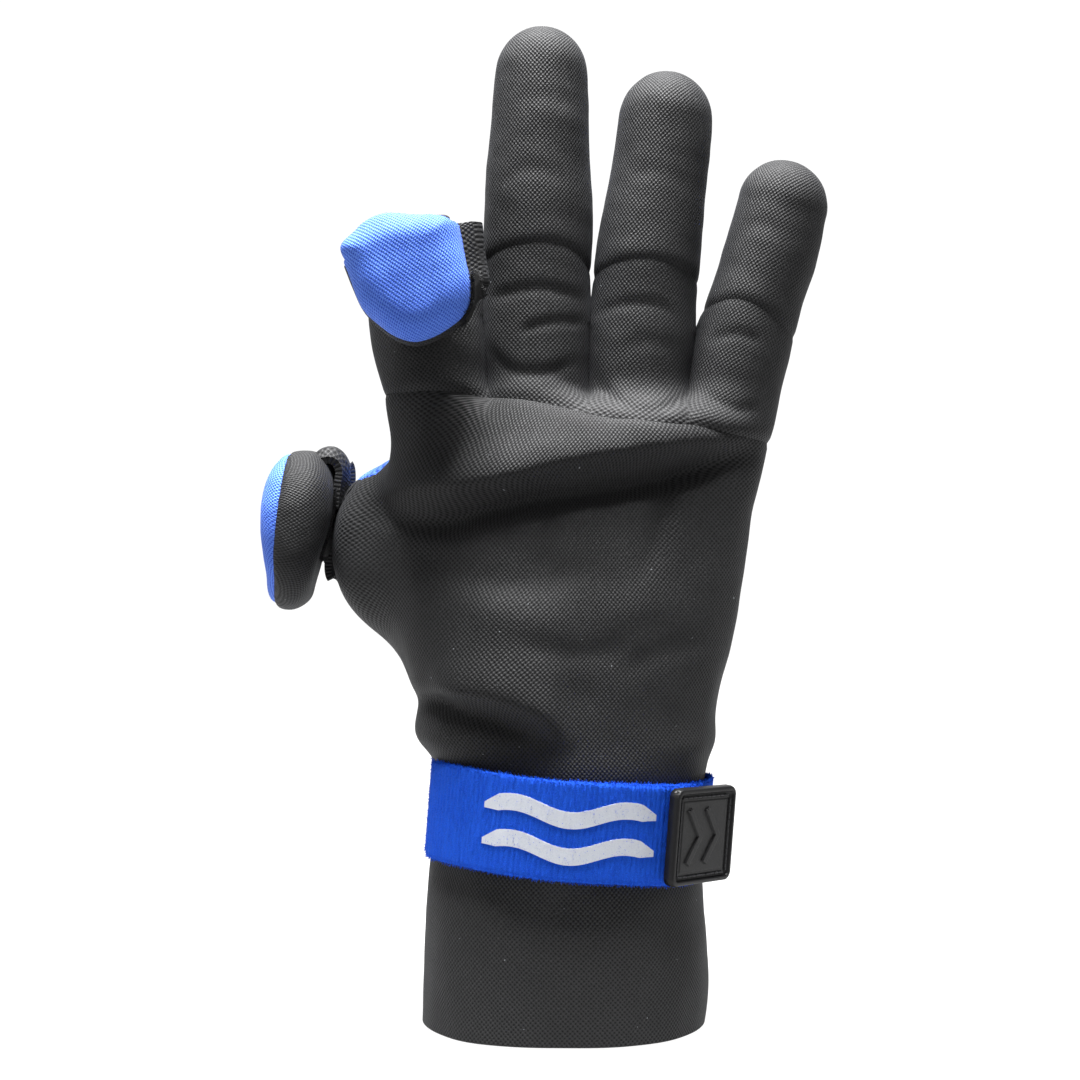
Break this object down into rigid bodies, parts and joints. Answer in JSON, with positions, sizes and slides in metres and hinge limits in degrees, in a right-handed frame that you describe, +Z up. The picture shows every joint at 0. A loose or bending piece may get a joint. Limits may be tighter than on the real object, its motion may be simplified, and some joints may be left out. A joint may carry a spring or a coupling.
{
  "type": "sailing glove",
  "caption": "Right-hand neoprene glove with slit index and thumb caps folded back, blue palm, and a wrist strap with a pull tab.",
  "frame": {"origin": "centre of the open cuff's rim", "axes": "+Z up the hand towards the fingertips, -Y out of the back of the hand, +X towards the little finger"},
  "size_m": [0.1521, 0.0748, 0.2622],
  "materials": {
    "black_neoprene": "fine black knit bonded to neoprene",
    "blue_neoprene": "blue knit bonded to neoprene",
    "blue_webbing": "brushed elastic loop webbing",
    "white_print": "screen-printed ink",
    "black_rubber": "moulded, satin",
    "black_thread": "sewing thread",
    "hook_tape": "nylon hooks",
    "loop_tape": "brushed nylon loops"
  },
  "bodies": {
    "hand": {"back_panel": "black_neoprene", "cuff_palm_panel": "black_neoprene", "knuckle_panel": "black_neoprene", "palm_panel": "blue_neoprene", "strap_band": "blue_webbing", "strap_tack_stitching": "black_thread"},
    "index_base": {"index_base_back": "black_neoprene", "index_base_palm": "blue_neoprene", "index_loop_patch": "loop_tape", "index_fold": "black_neoprene"},
    "middle_base": {"middle_base_back": "black_neoprene", "middle_base_palm": "blue_neoprene"},
    "middle_tip": {"middle_tip_back": "black_neoprene", "middle_tip_palm": "blue_neoprene"},
    "ring_base": {"ring_base_back": "black_neoprene", "ring_base_palm": "blue_neoprene"},
    "ring_tip": {"ring_tip_back": "black_neoprene", "ring_tip_palm": "blue_neoprene"},
    "pinky_base": {"pinky_base_back": "black_neoprene", "pinky_base_palm": "blue_neoprene"},
    "pinky_tip": {"pinky_tip_back": "black_neoprene", "pinky_tip_palm": "blue_neoprene"},
    "index_cap": {"index_cap_back": "black_neoprene", "index_cap_pad": "blue_neoprene", "index_hook_patch": "hook_tape"},
    "thumb_stub": {"thumb_stub_back": "black_neoprene", "thumb_stub_palm": "blue_neoprene", "thumb_loop_patch": "loop_tape", "thumb_fold": "black_neoprene"},
    "thumb_cap": {"thumb_cap_back": "black_neoprene", "thumb_cap_pad": "blue_neoprene", "thumb_hook_patch": "hook_tape"},
    "strap_end": {"strap_free_end": "blue_webbing", "strap_print": "white_print"},
    "tab": {"pull_tab": "black_rubber", "tab_stitching": "black_thread", "tab_emblem": "black_rubber", "tab_hook_pad": "hook_tape"}
  },
  "joints": [
    {"name": "index_root_bend", "type": "hinge", "parent": "hand", "child": "index_base", "pos_m": [-0.0346, 0.00567, 0.172], "axis": [-1, 0, 0], "range_deg": [0, 70], "stiffness_Nm_per_rad": 0.02},
    {"name": "middle_root_bend", "type": "hinge", "parent": "hand", "child": "middle_base", "pos_m": [-0.0073, 0.00567, 0.172], "axis": [-1, 0, 0], "range_deg": [0, 70], "stiffness_Nm_per_rad": 0.02},
    {"name": "middle_middle_bend", "type": "hinge", "parent": "middle_base", "child": "middle_tip", "pos_m": [-0.00693, 0.00567, 0.2025], "axis": [-1, 0, 0], "range_deg": [0, 80], "stiffness_Nm_per_rad": 0.015},
    {"name": "ring_root_bend", "type": "hinge", "parent": "hand", "child": "ring_base", "pos_m": [0.0192, 0.00558, 0.17], "axis": [-1, 0, 0], "range_deg": [0, 70], "stiffness_Nm_per_rad": 0.02},
    {"name": "ring_middle_bend", "type": "hinge", "parent": "ring_base", "child": "ring_tip", "pos_m": [0.02223, 0.00558, 0.19884], "axis": [-1, 0, 0], "range_deg": [0, 80], "stiffness_Nm_per_rad": 0.015},
    {"name": "pinky_root_bend", "type": "hinge", "parent": "hand", "child": "pinky_base", "pos_m": [0.0439, 0.00504, 0.168], "axis": [-1, 0, 0], "range_deg": [0, 70], "stiffness_Nm_per_rad": 0.02},
    {"name": "pinky_middle_bend", "type": "hinge", "parent": "pinky_base", "child": "pinky_tip", "pos_m": [0.04995, 0.00504, 0.18967], "axis": [-1, 0, 0], "range_deg": [0, 80], "stiffness_Nm_per_rad": 0.015},
    {"name": "thumb_bend", "type": "hinge", "parent": "hand", "child": "thumb_stub", "pos_m": [-0.03864, 0.02494, 0.12784], "axis": [-0.1202, -0.0009, -0.9927], "range_deg": [0, 30], "stiffness_Nm_per_rad": 0.03},
    {"name": "index_cap_fold", "type": "hinge", "parent": "index_base", "child": "index_cap", "pos_m": [-0.04023, -0.0132, 0.20756], "axis": [-0.9877, 0, -0.1564], "range_deg": [0, 178]},
    {"name": "thumb_cap_fold", "type": "hinge", "parent": "thumb_stub", "child": "thumb_cap", "pos_m": [-0.06362, 0.03195, 0.13086], "axis": [-0.1202, -0.0009, -0.9927], "range_deg": [0, 158]},
    {"name": "strap_opening", "type": "hinge", "parent": "hand", "child": "strap_end", "pos_m": [-0.03384, -0.01196, 0.05717], "axis": [-0.0767, 0, -0.9971], "range_deg": [0, 110]},
    {"name": "tab_lift", "type": "hinge", "parent": "strap_end", "child": "tab", "pos_m": [0.02523, -0.02704, 0.05262], "axis": [-0.0767, 0, -0.9971], "range_deg": [0, 60], "stiffness_Nm_per_rad": 0.002}
  ]
}
